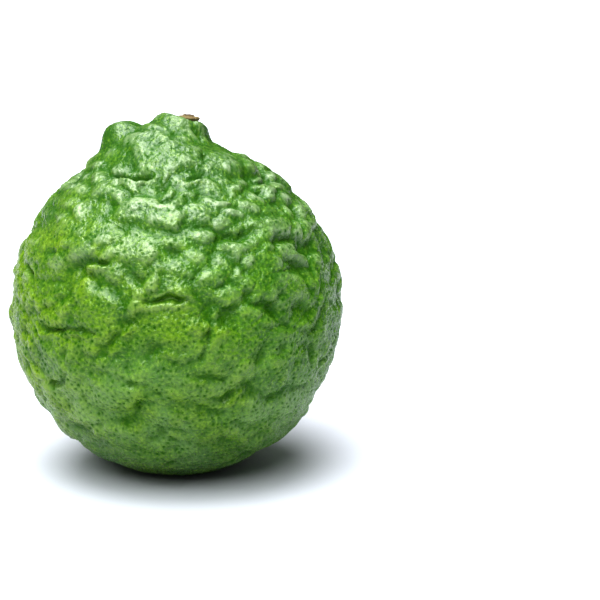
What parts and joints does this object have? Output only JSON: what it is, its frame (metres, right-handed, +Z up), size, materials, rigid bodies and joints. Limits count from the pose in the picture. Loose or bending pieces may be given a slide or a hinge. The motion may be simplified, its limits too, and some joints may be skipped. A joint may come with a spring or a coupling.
{
  "type": "makrut lime",
  "caption": "Whole green makrut lime with a warted, furrowed rind, a knobbed neck at the stem end and a dried stem button, resting upright on its blossom end.",
  "frame": {"origin": "centre of the flat spot at the blossom end, on the surface the fruit rests on", "axes": "+Z up along the fruit's axis to the stem end, -Y towards the side that the picture shows, +X to that side's right"},
  "size_m": [0.0621, 0.0616, 0.067],
  "materials": {
    "rind": "waxy green citrus rind with dark oil glands, fairly glossy",
    "dry_calyx": "dry, matt, brown"
  },
  "bodies": {
    "root": {"fruit": "rind", "stem_button": "dry_calyx"}
  },
  "joints": []
}
